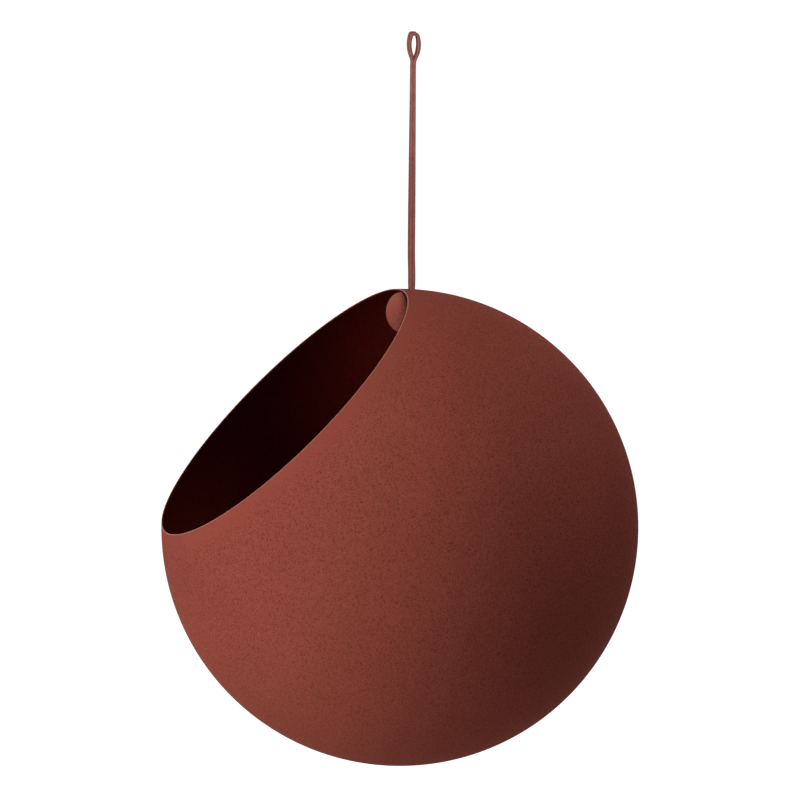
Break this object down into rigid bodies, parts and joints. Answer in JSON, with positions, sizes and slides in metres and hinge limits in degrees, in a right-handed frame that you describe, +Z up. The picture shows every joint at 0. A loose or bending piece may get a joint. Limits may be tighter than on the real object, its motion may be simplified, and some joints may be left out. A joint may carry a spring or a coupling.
{
  "type": "hanging planter",
  "caption": "Globe hanging planter with a slanted round mouth, hung from a folded leather lace that a domed knob inside the globe clamps.",
  "frame": {"origin": "seat of the hook: the highest point of the inside of the lace's loop", "axes": "+Z up along the lace, which hangs straight down from the origin; the globe's mouth faces -X and up; +Y completes the right-handed frame"},
  "size_m": [0.3, 0.3, 0.4615],
  "materials": {
    "globe_coat": "fine textured matt powder coat, brick red",
    "knob_coat": "fine textured matt powder coat, brick red",
    "lace_leather": "dyed leather, smooth grain side, paler cut edges",
    "stitch_thread": "waxed thread, dark",
    "steel": "zinc plated"
  },
  "bodies": {
    "loop": {"lace_loop": "lace_leather", "throat_stitch": "stitch_thread"},
    "lace": {"lace_front_leg": "lace_leather", "lace_back_leg": "lace_leather"},
    "globe": {"globe_shell": "globe_coat", "lace_front_tail": "lace_leather", "lace_back_tail": "lace_leather", "knob": "knob_coat", "knob_screw": "steel", "knob_washer": "steel"}
  },
  "joints": [
    {"name": "lace_twist", "type": "hinge", "parent": "loop", "child": "lace", "pos_m": [0, 0, -0.02407], "axis": [0, 0, 1], "range_deg": [-180, 180]},
    {"name": "globe_nod", "type": "hinge", "parent": "lace", "child": "globe", "pos_m": [0, 0, -0.15988], "axis": [0, 1, 0], "range_deg": [-15, 15]}
  ]
}
